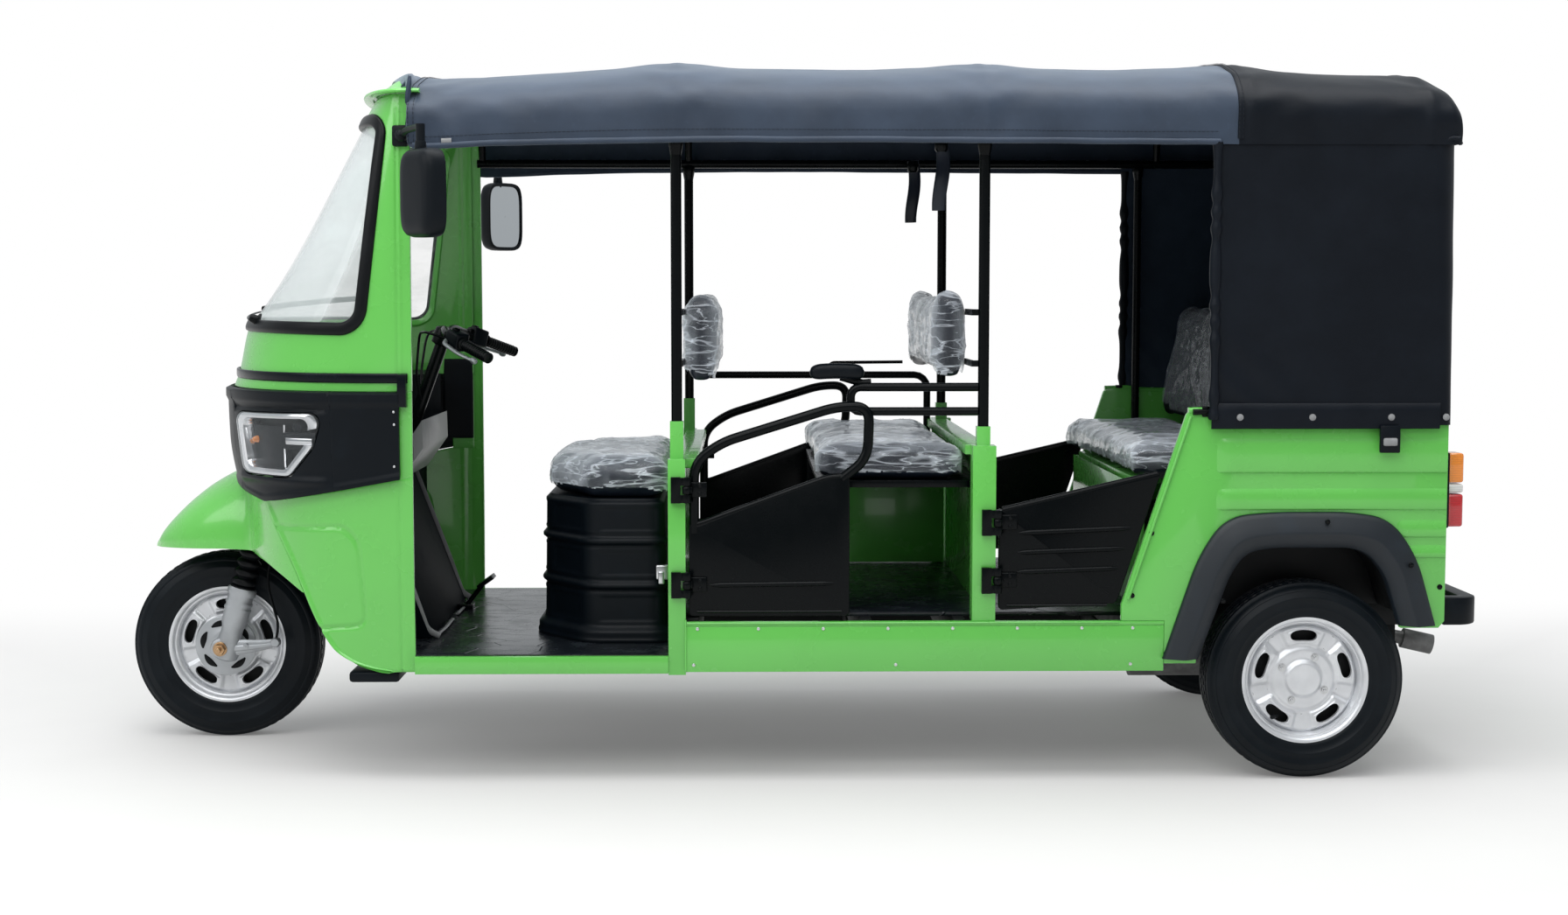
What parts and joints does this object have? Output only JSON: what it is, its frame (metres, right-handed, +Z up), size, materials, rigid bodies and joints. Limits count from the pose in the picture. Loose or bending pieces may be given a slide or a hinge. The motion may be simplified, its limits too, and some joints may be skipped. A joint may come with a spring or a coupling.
{
  "type": "passenger tricycle",
  "caption": "Three-wheeled passenger vehicle with a half-round cab, open sides with low hinged doors, bench seats under a fabric canopy on a tube frame.",
  "frame": {"origin": "on the ground, on the centreline, at half the overall length", "axes": "+X rearward, +Y to the driver's right, +Z up"},
  "size_m": [3.61, 1.7706, 1.868],
  "materials": {
    "green_paint": "gloss",
    "black_metal": "satin",
    "door_paint": "satin",
    "black_plastic": "matte",
    "floor_mat": "matte",
    "grey_plastic": "matte",
    "canopy_cloth": "matte",
    "rubber": "matte",
    "glass": "clear",
    "lamp": "clear",
    "tail_lamp": "clear",
    "vinyl": "satin",
    "bare_steel": "satin",
    "rim_steel": "silver",
    "tyre": "matte"
  },
  "bodies": {
    "chassis": {"chassis_rails": "black_metal", "cross_members": "black_metal", "steering_head": "black_metal", "floor_plates": "floor_mat", "side_sills": "green_paint", "posts": "green_paint", "partitions": "green_paint", "canopy_frame": "black_metal", "canopy_roof": "canopy_cloth", "canopy_curtains": "canopy_cloth", "apron": "green_paint", "lamp_fascia": "black_plastic", "cowl": "green_paint", "roof_cap": "green_paint", "windscreen": "glass", "windscreen_seal": "rubber", "front_fender": "green_paint", "headlamps": "lamp", "dashboard": "black_plastic", "dash_bin": "grey_plastic", "leg_shield": "black_plastic", "brake_pedal": "black_metal", "seat_box": "black_plastic", "drive_unit": "bare_steel", "driver_cushion": "vinyl", "mid_bench_frame": "black_metal", "mid_cushion": "vinyl", "backrests": "vinyl", "guard_rails": "black_metal", "armrest": "black_plastic", "hand_straps": "canopy_cloth", "rear_bench": "green_paint", "rear_cushion": "vinyl", "quarter_panels": "green_paint", "tail_panel": "green_paint", "wheel_flares": "black_plastic", "wheel_wells": "black_metal", "rear_bumper": "black_plastic", "tail_lamps": "tail_lamp", "tail_pipe": "bare_steel", "rear_axle": "black_metal", "leaf_springs": "black_metal", "mirrors": "black_plastic", "door_hinges": "black_metal"},
    "fork": {"fork": "black_metal", "fork_sliders": "bare_steel"},
    "handlebar": {"handlebar": "black_metal"},
    "front_wheel": {"front_tyre": "tyre", "front_rim": "rim_steel"},
    "rear_left_wheel": {"rear_left_tyre": "tyre", "rear_left_rim": "rim_steel"},
    "rear_right_wheel": {"rear_right_tyre": "tyre", "rear_right_rim": "rim_steel"},
    "door_front_left": {"door_front_left": "door_paint"},
    "door_front_right": {"door_front_right": "door_paint"},
    "door_rear_left": {"door_rear_left": "door_paint"},
    "door_rear_right": {"door_rear_right": "door_paint"}
  },
  "joints": [
    {"name": "steering", "type": "hinge", "parent": "chassis", "child": "fork", "pos_m": [-1.512, 0, 0.262], "axis": [0.2588, 0, 0.9659], "range_deg": [-38, 38]},
    {"name": "handlebar_turn", "type": "hinge", "parent": "chassis", "child": "handlebar", "pos_m": [-1, 0, 0.93], "axis": [0.342, 0, 0.9397], "range_deg": [-38, 38]},
    {"name": "front_wheel_spin", "type": "hinge", "parent": "fork", "child": "front_wheel", "pos_m": [-1.543, 0, 0.262], "axis": [0, -1, 0], "continuous": true},
    {"name": "rear_left_spin", "type": "hinge", "parent": "chassis", "child": "rear_left_wheel", "pos_m": [1.357, -0.56, 0.255], "axis": [0, -1, 0], "continuous": true},
    {"name": "rear_right_spin", "type": "hinge", "parent": "chassis", "child": "rear_right_wheel", "pos_m": [1.357, 0.56, 0.255], "axis": [0, -1, 0], "continuous": true},
    {"name": "door_front_left_swing", "type": "hinge", "parent": "chassis", "child": "door_front_left", "pos_m": [-0.231, -0.648, 0.6], "axis": [0, 0, -1], "range_deg": [0, 85]},
    {"name": "door_front_right_swing", "type": "hinge", "parent": "chassis", "child": "door_front_right", "pos_m": [-0.231, 0.648, 0.6], "axis": [0, 0, 1], "range_deg": [0, 85]},
    {"name": "door_rear_left_swing", "type": "hinge", "parent": "chassis", "child": "door_rear_left", "pos_m": [0.5575, -0.648, 0.6], "axis": [0, 0, -1], "range_deg": [0, 85]},
    {"name": "door_rear_right_swing", "type": "hinge", "parent": "chassis", "child": "door_rear_right", "pos_m": [0.5575, 0.648, 0.6], "axis": [0, 0, 1], "range_deg": [0, 85]}
  ],
  "couplings": [
    {"joint": "handlebar_turn", "follows": "steering", "ratio": 1}
  ]
}
